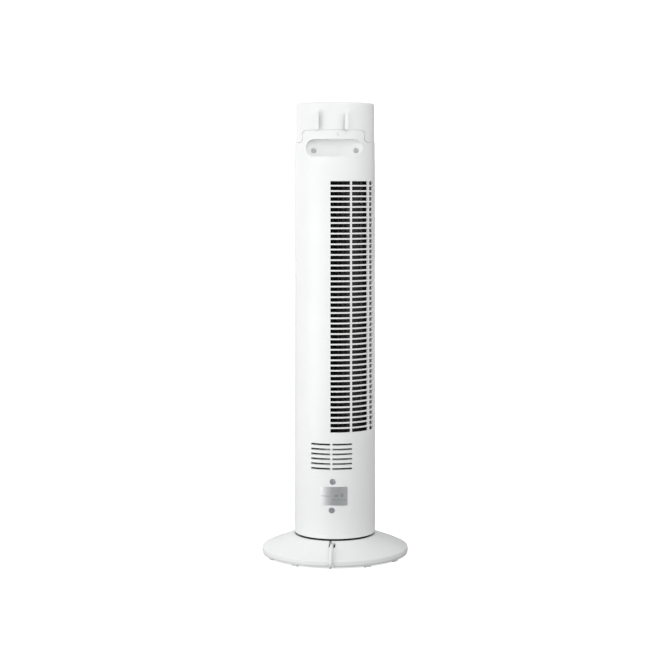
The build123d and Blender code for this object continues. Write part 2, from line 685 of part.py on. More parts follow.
# ---------------------------------------------------------------- cap and remote holder
with BuildPart() as top_cap:
    with BuildSketch(Plane.XZ):
        add(polygon_face([
            (CAP_RADIUS + 0.2, HOUSING_TOP), (CAP_RADIUS, TOTAL_HEIGHT), (PANEL_RADIUS, TOTAL_HEIGHT),
            (PANEL_RADIUS, PANEL_BOTTOM), (PANEL_RADIUS - 3, PANEL_BOTTOM), (PANEL_RADIUS - 3, 753.8),
            (CAP_RADIUS - WALL, 753.8), (CAP_RADIUS + 0.2 - WALL, HOUSING_TOP),
        ]))
    revolve(axis=Axis.Z)
    fillet(top_cap.edges().filter_by_position(Axis.Z, TOTAL_HEIGHT - 0.1, TOTAL_HEIGHT + 0.1)
           .sort_by(SortBy.RADIUS)[-1], 3.0)
    fillet(top_cap.edges().filter_by_position(Axis.Z, TOTAL_HEIGHT - 0.1, TOTAL_HEIGHT + 0.1)
           .sort_by(SortBy.RADIUS)[0], 0.8)
    # room for the housing's tongue at the rear
    with BuildSketch(Plane.XZ):
        add(tongue_outline(SEAM))
    extrude(amount=-100, mode=Mode.SUBTRACT)
    with BuildSketch(Plane.XY.offset(HOUSING_TOP - 1)):
        Circle(90)
    extrude(amount=1 + SEAM, mode=Mode.SUBTRACT)
    # inner skirt behind the joint line
    add(ring_solid(60.2, CAP_RADIUS - WALL + 0.15, 718.0, 722.0))
    add(ring_solid(60.2, 62.4, 704.0, 718.2))
    # rails: an upright web with a lip that points inwards
    for centre, inward in zip(RAIL_CENTRES, (1, -1)):
        web_x = centre - inward * (RAIL_WIDTH / 2 - 1.2)
        with BuildSketch(Plane.XY.offset(RAIL_BOTTOM)):
            with Locations((web_x, RAIL_FACE_Y - 6.0)):
                Rectangle(2.4, 12.0)
            with Locations((centre, RAIL_FACE_Y - 1.1)):
                Rectangle(RAIL_WIDTH, 2.2)
        extrude(amount=RAIL_TOP - RAIL_BOTTOM)
    rail_edges = top_cap.edges().filter_by(Axis.Z).filter_by_position(Axis.Y, RAIL_FACE_Y - 0.1, 80)
    fillet(rail_edges, 0.7)
save(top_cap, "top_cap")

with BuildPart() as control_panel:
    with BuildSketch(Plane.XY.offset(PANEL_BOTTOM)):
        Circle(PANEL_RADIUS - 0.25)
    extrude(amount=PANEL_TOP - PANEL_BOTTOM)
    fillet(control_panel.edges().group_by(Axis.Z)[-1], 0.5)
    with BuildSketch(Plane.XY.offset(PANEL_BOTTOM)):
        with GridLocations(BUTTON_PITCH, 1, len(BUTTON_NAMES), 1):
            with Locations((0, BUTTON_Y)):
                Circle(BUTTON_RADIUS + CLEARANCE)
        with Locations((0, 6)):
            RectangleRounded(52.6, 16.6, 4.3)
    extrude(amount=PANEL_TOP - PANEL_BOTTOM, mode=Mode.SUBTRACT)
    # posts for the control board
    with BuildSketch(Plane.XY.offset(745.6)):
        with Locations((-38, 16), (38, 16), (-18, -38), (18, -38)):
            Circle(2.6)
    extrude(amount=PANEL_BOTTOM - 745.6)
save(control_panel, "control_panel")

with BuildPart() as display_lens:
    with BuildSketch(Plane.XY.offset(PANEL_BOTTOM)):
        with Locations((0, 6)):
            RectangleRounded(52.4, 16.4, 4.2)
    extrude(amount=PANEL_TOP - PANEL_BOTTOM)
    with BuildSketch(Plane.XY.offset(PANEL_BOTTOM - 1.2)):
        with Locations((0, 6)):
            RectangleRounded(57, 21, 5)
    extrude(amount=1.2)
    fillet(display_lens.edges().group_by(Axis.Z)[-1], 0.4)
save(display_lens, "display_lens")

with BuildPart() as control_board:
    with BuildSketch(Plane.XY.offset(744.0)):
        with Locations((0, -8)):
            RectangleRounded(88, 64, 4)
    extrude(amount=1.6)
    with BuildSketch(Plane.XY.offset(745.6)):
        with Locations((0, 6)):
            Rectangle(44, 12)
    extrude(amount=6)
save(control_board, "control_board")

BUTTON_X = [BUTTON_PITCH * (index - (len(BUTTON_NAMES) - 1) / 2) for index in range(len(BUTTON_NAMES))]
with BuildPart() as key_switches:
    for x in BUTTON_X:
        with BuildSketch(Plane.XY.offset(745.6)):
            with Locations((x, BUTTON_Y)):
                Rectangle(6, 6)
        extrude(amount=3.8)
        with BuildSketch(Plane.XY.offset(749.4)):
            with Locations((x, BUTTON_Y)):
                Circle(1.7)
        extrude(amount=1.0)
save(key_switches, "key_switches")


def push_button(x):
    """Private button cap with a retaining flange under the panel."""
    with BuildPart(mode=Mode.PRIVATE) as button:
        with BuildSketch(Plane.XY.offset(751.5)):
            with Locations((x, BUTTON_Y)):
                Circle(BUTTON_RADIUS)
        extrude(amount=759.9 - 751.5)
        fillet(button.edges().group_by(Axis.Z)[-1], 0.8)
        with BuildSketch(Plane.XY.offset(754.6)):
            with Locations((x, BUTTON_Y)):
                Circle(BUTTON_RADIUS + 1.3)
        extrude(amount=1.3)
    return button.part


with BuildPart() as power_button:
    add(push_button(BUTTON_X[0]))
save(power_button, "power_button")

with BuildPart() as speed_button:
    add(push_button(BUTTON_X[1]))
save(speed_button, "speed_button")

with BuildPart() as mode_button:
    add(push_button(BUTTON_X[2]))
save(mode_button, "mode_button")

with BuildPart() as timer_button:
    add(push_button(BUTTON_X[3]))
save(timer_button, "timer_button")

with BuildPart() as swing_button:
    add(push_button(BUTTON_X[4]))
save(swing_button, "swing_button")

# ---------------------------------------------------------------- motor
MOTOR_TOP = MOTOR_MIDDLE + CORE_HALF
with BuildPart() as motor_core:
    with BuildSketch(Plane.XY.offset(MOTOR_MIDDLE - CORE_HALF)):
        Circle(37)
        with PolarLocations(MOTOR_BOLT_RADIUS - 1.5, 4, start_angle=45):
            Circle(6.5)
        Circle(20.5, mode=Mode.SUBTRACT)
        with PolarLocations(MOTOR_BOLT_RADIUS, 4, start_angle=45):
            Circle(2.2, mode=Mode.SUBTRACT)
    extrude(amount=2 * CORE_HALF)
save(motor_core, "motor_core")

with BuildPart() as motor_windings:
    for bottom in (MOTOR_TOP, MOTOR_MIDDLE - CORE_HALF - 8.5):
        add(ring_solid(22.5, 32.5, bottom, bottom + 8.5))
    fillet(motor_windings.edges(), 2.0)
save(motor_windings, "motor_windings")

with BuildPart() as motor_upper_bracket:
    with BuildSketch(Plane.XZ):
        add(polygon_face([
            (34.5, MOTOR_TOP), (37, MOTOR_TOP), (37, MOTOR_TOP + 6.5), (31, MOTOR_TOP + 12.5),
            (11, MOTOR_TOP + 12.5), (11, MOTOR_TOP + 16), (8, MOTOR_TOP + 16), (8, MOTOR_TOP + 9.2),
            (10, MOTOR_TOP + 9.2), (10, MOTOR_TOP + 10.5), (30, MOTOR_TOP + 10.5), (34.5, MOTOR_TOP + 5.5),
        ]))
    revolve(axis=Axis.Z)
    with BuildSketch(Plane.XY.offset(MOTOR_TOP)):
        with PolarLocations(MOTOR_BOLT_RADIUS, 4, start_angle=45):
            Circle(5.5)
        Circle(35.5, mode=Mode.SUBTRACT)
        with PolarLocations(MOTOR_BOLT_RADIUS, 4, start_angle=45):
            Circle(2.2, mode=Mode.SUBTRACT)
    extrude(amount=3)
save(motor_upper_bracket, "motor_upper_bracket")

with BuildPart() as motor_lower_bracket:
    add(motor_upper_bracket.part)
    mirror(about=Plane.XY.offset(MOTOR_MIDDLE), mode=Mode.REPLACE)
save(motor_lower_bracket, "motor_lower_bracket")

with BuildPart() as motor_bearings:
    for bottom in (MOTOR_TOP + 9.6, MOTOR_MIDDLE - CORE_HALF - 15.6):
        add(ring_solid(SHAFT_RADIUS + 0.03, 7.98, bottom, bottom + 6.0))
save(motor_bearings, "motor_bearings")

with BuildPart() as motor_rotor:
    add(ring_solid(SHAFT_RADIUS, 20.1, MOTOR_MIDDLE - CORE_HALF, MOTOR_TOP))
    add(ring_solid(14, 18.5, MOTOR_TOP, MOTOR_TOP + 3.5))
    add(ring_solid(14, 18.5, MOTOR_MIDDLE - CORE_HALF - 3.5, MOTOR_MIDDLE - CORE_HALF))
save(motor_rotor, "motor_rotor")

with BuildPart() as motor_shaft:
    with BuildSketch(Plane.XY.offset(141.2)):
        Circle(SHAFT_RADIUS)
    extrude(amount=221.0 - 141.2)
    chamfer(motor_shaft.edges(), 0.5)
save(motor_shaft, "motor_shaft")

with BuildPart() as motor_bulkhead:
    with BuildSketch(Plane.XY.offset(BULKHEAD_Z)):
        Circle(64.0)
        Circle(12.0, mode=Mode.SUBTRACT)
        with PolarLocations(MOTOR_BOLT_RADIUS, 4, start_angle=45):
            Circle(2.2, mode=Mode.SUBTRACT)
    extrude(amount=2.5)
    add(ring_solid(12.0, 14.0, BULKHEAD_Z + 2.4, BULKHEAD_Z + 4.5))
save(motor_bulkhead, "motor_bulkhead")

with BuildPart() as motor_mounts:
    for index in range(4):
        angle = radians(45 + 90 * index)
        with BuildSketch(Plane.XY.offset(MOTOR_TOP + 3)):
            with Locations((MOTOR_BOLT_RADIUS * cos(angle), MOTOR_BOLT_RADIUS * sin(angle))):
                Circle(3.4)
                Circle(2.2, mode=Mode.SUBTRACT)
        extrude(amount=BULKHEAD_Z - MOTOR_TOP - 3)
save(motor_mounts, "motor_mounts")

with BuildPart() as motor_bolts:
    for index in range(4):
        angle = radians(45 + 90 * index)
        x = MOTOR_BOLT_RADIUS * cos(angle)
        y = MOTOR_BOLT_RADIUS * sin(angle)
        low = MOTOR_MIDDLE - CORE_HALF - 3
        add(upright_screw(x, y, low - 2.0, BULKHEAD_Z + 5.0 - low, radius=2.0, up=False))
        with BuildSketch(Plane.XY.offset(BULKHEAD_Z + 2.5)):
            with Locations((x, y)):
                RegularPolygon(3.4, 6)
        extrude(amount=2.4)
save(motor_bolts, "motor_bolts")

# ---------------------------------------------------------------- impeller and air duct
with BuildPart() as drive_hub:
    add(ring_solid(SHAFT_RADIUS, 9.0, IMPELLER_BOTTOM - 4.0, IMPELLER_BOTTOM))
    add(ring_solid(SHAFT_RADIUS, 7.0, IMPELLER_BOTTOM, IMPELLER_BOTTOM + 9.0))
save(drive_hub, "drive_hub")


def blade(angle):
    """Private face of one curved impeller blade, its outer tip at a polar angle."""
    turn = radians(angle)
    lean = radians(11)

    def spot(radius, offset):
        return (radius * cos(turn + offset), radius * sin(turn + offset))

    with BuildSketch(mode=Mode.PRIVATE) as face:
        with BuildLine():
            ThreePointArc(spot(32.0, 0), spot(36.8, lean * 0.35), spot(41.8, lean))
            Line(spot(41.8, lean), spot(41.8, lean + 0.022))
            ThreePointArc(spot(41.8, lean + 0.022), spot(36.8, lean * 0.35 + 0.032), spot(32.0, 0.03))
            Line(spot(32.0, 0.03), spot(32.0, 0))
        make_face()
    return face.sketch


RING_COUNT = 7
with BuildPart() as impeller:
    with BuildSketch(Plane.XY.offset(IMPELLER_BOTTOM)):
        for index in range(IMPELLER_BLADES):
            add(blade(index * 360 / IMPELLER_BLADES))
    extrude(amount=IMPELLER_TOP - IMPELLER_BOTTOM)
    for index in range(1, RING_COUNT - 1):
        z = IMPELLER_BOTTOM + index * (IMPELLER_TOP - IMPELLER_BOTTOM - 2.0) / (RING_COUNT - 1)
        add(ring_solid(30.0, IMPELLER_RADIUS, z, z + 2.0))
    add(ring_solid(7.0, IMPELLER_RADIUS, IMPELLER_BOTTOM, IMPELLER_BOTTOM + 2.2))
    add(ring_solid(7.0, 10.0, IMPELLER_BOTTOM, IMPELLER_BOTTOM + 9.0))
    add(ring_solid(3.0, IMPELLER_RADIUS, IMPELLER_TOP - 2.2, IMPELLER_TOP))
    add(ring_solid(3.0, 6.0, IMPELLER_TOP - 12.0, IMPELLER_TOP))
save(impeller, "impeller")

with BuildPart() as stub_axle:
    with BuildSketch(Plane.XY.offset(IMPELLER_TOP - 12.0)):
        Circle(3.0)
    extrude(amount=24.0)
    chamfer(stub_axle.edges(), 0.4)
save(stub_axle, "stub_axle")

with BuildPart() as upper_bulkhead:
    with BuildSketch(Plane.XY.offset(UPPER_BULKHEAD_Z)):
        Circle(63.0)
        Circle(9.0, mode=Mode.SUBTRACT)
    extrude(amount=2.5)
    add(ring_solid(9.0, 11.5, UPPER_BULKHEAD_Z, UPPER_BULKHEAD_Z + 10.0))
save(upper_bulkhead, "upper_bulkhead")

with BuildPart() as bearing_cushion:
    add(ring_solid(6.0, 9.0, UPPER_BULKHEAD_Z + 1.0, UPPER_BULKHEAD_Z + 9.0))
save(bearing_cushion, "bearing_cushion")

with BuildPart() as upper_bearing:
    add(ring_solid(3.03, 6.0, UPPER_BULKHEAD_Z + 1.0, UPPER_BULKHEAD_Z + 9.0))
save(upper_bearing, "upper_bearing")

DUCT_BOTTOM = BULKHEAD_Z + 2.5
with BuildPart() as scroll_wall:
    with BuildSketch(Plane.XY.offset(DUCT_BOTTOM)):
        # the wall winds away from the impeller towards the outlet
        inner = []
        outer = []
        for step in range(6):
            turn = radians(90 - 9 - step * 24.8)
            radius = 45.5 + step * 2.9
            inner.append((radius * cos(turn), radius * sin(turn)))
            outer.append(((radius + 1.8) * cos(turn), (radius + 1.8) * sin(turn)))
        with BuildLine():
            Spline(*inner)
            Spline(*outer)
            Line(inner[0], outer[0])
            Line(inner[-1], outer[-1])
        make_face()
    extrude(amount=UPPER_BULKHEAD_Z - DUCT_BOTTOM)
save(scroll_wall, "scroll_wall")

with BuildPart() as air_tongue:
    with BuildSketch(Plane.XY.offset(DUCT_BOTTOM)):
        add(sector(45.2, 47.0, 97, 121))
        add(sector(45.2, 61.5, 119.2, 121))
    extrude(amount=UPPER_BULKHEAD_Z - DUCT_BOTTOM)
save(air_tongue, "air_tongue")

# ---------------------------------------------------------------- blank rating label
LABEL_Z = (94.8, 126.0)
with BuildPart() as rating_label:
    with BuildSketch(Plane.XZ.rotated((0, 0, 90 - 17.7))):
        low, high = LABEL_Z
        add(polygon_face([
            (tower_radius(low), low), (tower_radius(low) + 0.35, low),
            (tower_radius(high) + 0.35, high), (tower_radius(high), high),
        ]))
    revolve(axis=Axis.Z, revolution_arc=38.8)
save(rating_label, "rating_label")

# ---------------------------------------------------------------- mains lead
CORD_START = (0, 60.0, 21.0)
CORD_ROUTE = [
    CORD_START,
    (0, 70.0, 24.0),
    (0.2, 78.5, 30.2),
    (0.5, 87.5, 33.4),
    (0.4, 98.0, 28.2),
    (0.1, 108.0, 24.2),
    (-0.2, 117.0, 21.2),
    (-0.4, 125.4, 17.4),
    (-0.3, 129.4, 9.6),
    (0, 125.6, 3.6),
    (0.4, 116.0, 3.2),
    (3.0, 101.0, 3.2),
    (12.0, 86.0, 3.2),
    (25.0, 70.0, 3.2),
    (35.5, 50.0, 3.4),
    (40.6, 27.0, 3.8),
    (COIL_RADII[2], 6.0, COIL_LAYERS_Z[0]),
]
TAIL_ROUTE = [
    (COIL_RADII[2], -6.0, COIL_LAYERS_Z[1]),
    (41.0, -24.0, 10.0),
    (39.0, -42.0, 9.4),
    (32.0, -59.0, 9.0),
    (18.5, -70.0, 8.8),
    (3.0, -70.0, 8.8),
]


def cord_radii(points):
    """Largest arc at each corner: 0.45 of the shorter run over the tangent of half the turn."""
    radii = []
    for before, here, after in zip(points, points[1:], points[2:]):
        one = Vector(*here) - Vector(*before)
        two = Vector(*after) - Vector(*here)
        turn = one.get_angle(two)
        radii.append(0.45 * min(one.length, two.length) / tan(radians(turn / 2)))
    return radii


def cord_tube(points, name):
    """Private round tube along straight runs joined by arcs."""
    radii = cord_radii(points)
    with BuildPart(mode=Mode.PRIVATE) as tube:
        with BuildLine() as path:
            FilletPolyline(*points, radius=radii)
        start = Vector(*points[1]) - Vector(*points[0])
        with BuildSketch(Plane(origin=points[0], z_dir=start)):
            Circle(CORD_RADIUS)
        sweep(path=path.line)
    expected = pi * CORD_RADIUS ** 2 * path.wire().length
    print(f"{name}: length {path.wire().length:.1f}, volume {tube.part.volume / expected:.4f} of expected")
    print("  radii", [round(radius, 1) for radius in radii])
    return tube.part


with BuildPart() as power_cord:
    add(cord_tube(CORD_ROUTE, "power_cord"))
save(power_cord, "power_cord")

with BuildPart() as cord_tail:
    add(cord_tube(TAIL_ROUTE, "cord_tail"))
save(cord_tail, "cord_tail")

COIL_INNER = COIL_RADII[0] - CORD_RADIUS - 0.1
COIL_OUTER = COIL_RADII[2] + CORD_RADIUS + 0.1
COIL_BOTTOM = COIL_LAYERS_Z[0] - CORD_RADIUS - 0.1
COIL_TOP = COIL_LAYERS_Z[1] + CORD_RADIUS + 0.1
with BuildPart() as cord_coil:
    add(ring_solid(COIL_INNER, COIL_OUTER, COIL_BOTTOM, COIL_TOP))
    fillet(cord_coil.edges(), 2.4)
save(cord_coil, "cord_coil")

with BuildPart() as cord_tie:
    with BuildSketch(Plane.XZ):
        with Locations((-(COIL_INNER + COIL_OUTER) / 2, (COIL_BOTTOM + COIL_TOP) / 2)):
            Rectangle(COIL_OUTER - COIL_INNER + 2.8, COIL_TOP - COIL_BOTTOM + 1.6)
            Rectangle(COIL_OUTER - COIL_INNER + 1.4, COIL_TOP - COIL_BOTTOM + 0.2, mode=Mode.SUBTRACT)
    extrude(amount=4.5, both=True)
save(cord_tie, "cord_tie")

GROMMET_LENGTH = 12.0
with BuildPart() as cord_grommet:
    direction = Vector(*CORD_ROUTE[1]) - Vector(*CORD_START)
    exit_plane = Plane(origin=CORD_START, z_dir=direction)
    with BuildSketch(exit_plane):
        Circle(4.0)
    with BuildSketch(exit_plane.offset(-GROMMET_LENGTH)):
        Circle(5.4)
    loft()
save(cord_grommet, "cord_grommet")

with BuildPart() as inner_lead:
    lead_start = exit_plane.offset(-GROMMET_LENGTH).origin
    lead_points = [tuple(lead_start), (0, 30.0, 17.0), (0, 12.0, 17.6), (0, 0, 24.0), (0, 0.3, 40.0), (0, 0, 56.0)]
    with BuildLine() as lead_path:
        FilletPolyline(*lead_points, radius=cord_radii(lead_points))
    lead_direction = Vector(*lead_points[1]) - Vector(*lead_points[0])
    with BuildSketch(Plane(origin=lead_points[0], z_dir=lead_direction)):
        Circle(2.6)
    sweep(path=lead_path.line)
save(inner_lead, "inner_lead")

with BuildPart() as plug_body:
    with BuildSketch(Plane.YZ.offset(-31)):
        with Locations((-70, 8.8)):
            RectangleRounded(23, 15, 5)
    with BuildSketch(Plane.YZ.offset(-12)):
        with Locations((-70, 8.8)):
            RectangleRounded(20, 14, 5)
    with BuildSketch(Plane.YZ.offset(-5)):
        with Locations((-70, 8.8)):
            RectangleRounded(11, 10, 4)
    with BuildSketch(Plane.YZ.offset(3.0)):
        with Locations((-70, 8.8)):
            RectangleRounded(8.2, 8.2, 4)
    loft()
save(plug_body, "plug_body")

with BuildPart() as plug_blades:
    with BuildSketch(Plane.YZ.offset(-31)):
        with Locations((-76.35, 8.8), (-63.65, 8.8)):
            Rectangle(1.5, 6.3)
    extrude(amount=-17)
    chamfer(plug_blades.edges().group_by(Axis.X)[0], 0.4)
save(plug_blades, "plug_blades")
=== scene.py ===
"""Tower fan seen from the rear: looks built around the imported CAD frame.

Everything is in metres, +Z up.  The rear of the fan faces +Y, its outlet -Y.
"""

import json
import math

import bmesh
import bpy
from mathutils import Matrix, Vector


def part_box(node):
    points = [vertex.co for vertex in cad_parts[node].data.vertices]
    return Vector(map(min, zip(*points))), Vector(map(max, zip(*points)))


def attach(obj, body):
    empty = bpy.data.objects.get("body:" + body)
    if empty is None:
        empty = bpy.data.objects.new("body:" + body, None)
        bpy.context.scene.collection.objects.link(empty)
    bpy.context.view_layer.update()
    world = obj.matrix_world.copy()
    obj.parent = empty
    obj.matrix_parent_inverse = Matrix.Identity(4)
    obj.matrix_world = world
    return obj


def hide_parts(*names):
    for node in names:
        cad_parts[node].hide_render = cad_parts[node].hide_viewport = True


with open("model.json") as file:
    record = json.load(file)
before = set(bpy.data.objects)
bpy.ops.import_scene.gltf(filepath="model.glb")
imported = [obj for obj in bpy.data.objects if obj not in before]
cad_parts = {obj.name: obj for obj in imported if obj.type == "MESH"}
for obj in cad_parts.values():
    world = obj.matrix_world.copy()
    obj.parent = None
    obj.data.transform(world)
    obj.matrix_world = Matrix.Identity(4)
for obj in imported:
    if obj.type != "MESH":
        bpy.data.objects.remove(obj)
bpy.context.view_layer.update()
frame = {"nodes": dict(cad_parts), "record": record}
nodes = frame["nodes"]
scene = bpy.context.scene
MM = 0.001


# ------------------------------------------------------------------ camera
CAMERA_AZIMUTH = 183.5
CAMERA_DISTANCE = 2.680
CAMERA_HEIGHT = 0.6138
CAMERA_PITCH = 5.13
CAMERA_LENS = 85.594

azimuth = math.radians(CAMERA_AZIMUTH)
pitch = math.radians(CAMERA_PITCH)
camera_data = bpy.data.cameras.new("camera")
camera_data.lens = CAMERA_LENS
camera_data.sensor_width = 36.0
camera = bpy.data.objects.new("camera", camera_data)
scene.collection.objects.link(camera)
camera.location = (
    CAMERA_DISTANCE * math.sin(azimuth),
    -CAMERA_DISTANCE * math.cos(azimuth),
    CAMERA_HEIGHT,
)
looking = Vector((
    -math.sin(azimuth) * math.cos(pitch),
    math.cos(azimuth) * math.cos(pitch),
    -math.sin(pitch),
))
camera.rotation_mode = "QUATERNION"
camera.rotation_quaternion = looking.to_track_quat("-Z", "Y")
scene.camera = camera


# ------------------------------------------------------------------ power cord
CORD_RADIUS = 3.0
CORD_EXIT = (0.0, 60.0, 21.0)
COIL_RADII = (40.2, 34.1, 28.0)
COIL_LOW, COIL_HIGH = 4.1, 10.2
COIL_TURNS = 6.0
POINTS_PER_TURN = 24
CONTROL_SWELL = 1.0065         # control points stand this much outside the line they draw
RAMP_START = 0.75              # each turn changes radius in its last quarter
COIL_JOIN_Y = 6.0              # where the lead runs into the first turn
COIL_RELEASE = 6.1             # the last turn swings out by this much
CLIMB_BULGE = 3.0              # the turn that changes layer bows inward by this much
CURVE_STEPS = 6
CORD_FACETS = 5

LEAD_ROUTE = [
    CORD_EXIT,
    (0.0, 70.0, 24.0),
    (0.2, 78.5, 29.2),
    (0.5, 87.5, 31.0),
    (0.4, 98.0, 26.6),
    (0.1, 108.0, 23.3),
    (-0.2, 117.0, 20.4),
    (-0.4, 125.4, 16.8),
    (-0.3, 128.5, 9.6),
    (0.0, 125.6, 3.6),
    (0.4, 116.0, 3.2),
    (3.0, 101.0, 3.2),
    (12.0, 86.0, 3.2),
    (25.0, 70.0, 3.2),
    (35.5, 50.0, 3.4),
    (40.6, 27.0, 3.8),
]
TAIL_ROUTE = [
    (46.0, -9.0, 10.2),
    (43.6, -26.0, 10.0),
    (39.0, -42.0, 9.4),
    (32.0, -59.0, 9.0),
    (18.5, -70.0, 8.8),
    (3.0, -70.0, 8.8),
]


def smooth(t):
    t = min(max(t, 0.0), 1.0)
    return t * t * (3.0 - 2.0 * t)


def coil_points():
    """Two flat layers: inward on the floor, then outward on top, clockwise from above."""
    levels = [
        (COIL_RADII[0], COIL_LOW), (COIL_RADII[1], COIL_LOW), (COIL_RADII[2], COIL_LOW),
        (COIL_RADII[2], COIL_HIGH), (COIL_RADII[1], COIL_HIGH), (COIL_RADII[0], COIL_HIGH),
        (COIL_RADII[0] + COIL_RELEASE, COIL_HIGH),
    ]
    start = math.atan2(COIL_JOIN_Y, COIL_RADII[0])
    points = []
    for i in range(int(COIL_TURNS * POINTS_PER_TURN)):
        turns = i / POINTS_PER_TURN
        turn = int(turns)
        share = smooth((turns - turn - RAMP_START) / (1.0 - RAMP_START))
        here, there = levels[turn], levels[turn + 1]
        radius = here[0] + (there[0] - here[0]) * share
        height = here[1] + (there[1] - here[1]) * share
        if here[1] != there[1]:
            radius -= CLIMB_BULGE * math.sin(math.pi * share)
        angle = start - 2.0 * math.pi * turns
        radius *= CONTROL_SWELL
        points.append((radius * math.cos(angle), radius * math.sin(angle), height))
    return points


def nurbs_curve(name, points, radius):
    curve = bpy.data.curves.new(name, "CURVE")
    curve.dimensions = "3D"
    spline = curve.splines.new("NURBS")
    spline.points.add(len(points) - 1)
    for place, point in zip(spline.points, points):
        place.co = (point[0] * MM, point[1] * MM, point[2] * MM, 1.0)
        place.radius = radius * MM
    spline.order_u = 3
    spline.use_endpoint_u = True
    spline.resolution_u = CURVE_STEPS
    curve.bevel_depth = 1.0        # times each point's radius, which also sets the curve's box
    curve.bevel_resolution = CORD_FACETS
    curve.use_fill_caps = True
    obj = bpy.data.objects.new(name, curve)
    scene.collection.objects.link(obj)
    return obj


mains_lead = nurbs_curve("mains_lead", LEAD_ROUTE + coil_points() + TAIL_ROUTE, CORD_RADIUS)
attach(mains_lead, "base")
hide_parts("power_cord", "cord_coil", "cord_tail")


# ------------------------------------------------------------------ materials
class Shader:
    """Small helper around one node tree with a Principled surface."""

    def __init__(self, name):
        self.material = bpy.data.materials.new(name)
        self.material.use_nodes = True
        self.tree = self.material.node_tree
        self.surface = self.tree.nodes["Principled BSDF"]
        coordinates = self.tree.nodes.new("ShaderNodeTexCoord")
        self.place = coordinates.outputs["Object"]

    def set(self, **values):
        for key, value in values.items():
            self.surface.inputs[key.replace("_", " ")].default_value = value
        return self

    def link(self, output, socket):
        self.tree.links.new(output, socket)

    def stretched(self, scale):
        mapping = self.tree.nodes.new("ShaderNodeMapping")
        mapping.inputs["Scale"].default_value = scale
        self.link(self.place, mapping.inputs["Vector"])
        return mapping.outputs["Vector"]

    def noise(self, scale, detail=3.0, rough=0.5, place=None):
        node = self.tree.nodes.new("ShaderNodeTexNoise")
        node.inputs["Scale"].default_value = scale
        node.inputs["Detail"].default_value = detail
        node.inputs["Roughness"].default_value = rough
        self.link(place or self.place, node.inputs["Vector"])
        return node.outputs["Fac"]

    def cells(self, scale, place=None):
        node = self.tree.nodes.new("ShaderNodeTexVoronoi")
        node.inputs["Scale"].default_value = scale
        self.link(place or self.place, node.inputs["Vector"])
        return node.outputs["Distance"]

    def math(self, operation, a, b=0.0, clamp=False):
        node = self.tree.nodes.new("ShaderNodeMath")
        node.operation = operation
        node.use_clamp = clamp
        for socket, value in zip(node.inputs, (a, b)):
            if isinstance(value, (int, float)):
                socket.default_value = value
            else:
                self.link(value, socket)
        return node.outputs["Value"]

    def spread(self, value, low, high, start=0.3, end=0.7):
        node = self.tree.nodes.new("ShaderNodeMapRange")
        node.inputs["From Min"].default_value = start
        node.inputs["From Max"].default_value = end
        node.inputs["To Min"].default_value = low
        node.inputs["To Max"].default_value = high
        self.link(value, node.inputs["Value"])
        return node.outputs["Result"]

    def mixed(self, factor, dark, light):
        node = self.tree.nodes.new("ShaderNodeMix")
        node.data_type = "RGBA"
        self.link(factor, node.inputs["Factor"])
        for socket, value in ((node.inputs[6], dark), (node.inputs[7], light)):
            if isinstance(value, tuple):
                socket.default_value = (*value, 1.0)
            else:
                self.link(value, socket)
        return node.outputs[2]

    def colour(self, value):
        self.link(value, self.surface.inputs["Base Color"])
        return self

    def roughness(self, value):
        self.link(value, self.surface.inputs["Roughness"])
        return self

    def bump(self, *layers):
        """Each layer is (height output, depth in metres)."""
        normal = None
        for height, depth in layers:
            node = self.tree.nodes.new("ShaderNodeBump")
            node.inputs["Strength"].default_value = 1.0
            node.inputs["Distance"].default_value = depth
            self.link(height, node.inputs["Height"])
            if normal is not None:
                self.link(normal, node.inputs["Normal"])
            normal = node.outputs["Normal"]
        self.link(normal, self.surface.inputs["Normal"])
        return self


def moulded(name, dark, light, gloss, grain, depth, coat=0.0):
    """Moulded plastic: slow colour drift, fine spark texture, flow ripple."""
    s = Shader(name)
    drift = s.noise(14.0, 4.0, 0.55)
    s.colour(s.mixed(s.spread(drift, 0.0, 1.0), dark, light))
    fine = s.noise(grain, 2.0, 0.6)
    patch = s.noise(60.0, 3.0, 0.5)
    s.roughness(s.math("ADD", s.spread(patch, gloss[0], gloss[1]), s.spread(fine, -0.03, 0.03)))
    s.bump((fine, depth), (s.noise(90.0, 1.0), depth * 1.5))
    s.set(IOR=1.5, Coat_Weight=coat)
    return s.material


def metal(name, dark, light, gloss, stretch, depth=0.00001):
    s = Shader(name)
    lines = s.noise(1.0, 4.0, 0.65, s.stretched(stretch))
    stain = s.noise(160.0, 3.0)
    s.colour(s.mixed(s.spread(stain, 0.0, 1.0), dark, light))
    s.roughness(s.spread(lines, gloss[0], gloss[1]))
    s.bump((lines, depth))
    s.set(Metallic=1.0)
    return s.material


def windings():
    s = Shader("enamelled_wire")
    turns = s.tree.nodes.new("ShaderNodeTexWave")
    turns.wave_type = "BANDS"
    turns.bands_direction = "Z"
    turns.inputs["Scale"].default_value = 420.0
    turns.inputs["Distortion"].default_value = 1.2
    s.link(s.place, turns.inputs["Vector"])
    s.colour(s.mixed(turns.outputs["Fac"], (0.24, 0.08, 0.025), (0.62, 0.27, 0.10)))
    s.roughness(s.spread(s.noise(300.0), 0.25, 0.45))
    s.bump((turns.outputs["Fac"], 0.0002))
    s.set(Metallic=0.85)
    return s.material


def laminations():
    s = Shader("stacked_laminations")
    sheets = s.tree.nodes.new("ShaderNodeTexWave")
    sheets.wave_type = "BANDS"
    sheets.bands_direction = "Z"
    sheets.inputs["Scale"].default_value = 630.0
    s.link(s.place, sheets.inputs["Vector"])
    s.colour(s.mixed(sheets.outputs["Fac"], (0.20, 0.20, 0.21), (0.50, 0.51, 0.53)))
    s.roughness(s.spread(s.noise(400.0), 0.3, 0.5))
    s.bump((sheets.outputs["Fac"], 0.00008))
    s.set(Metallic=1.0)
    return s.material


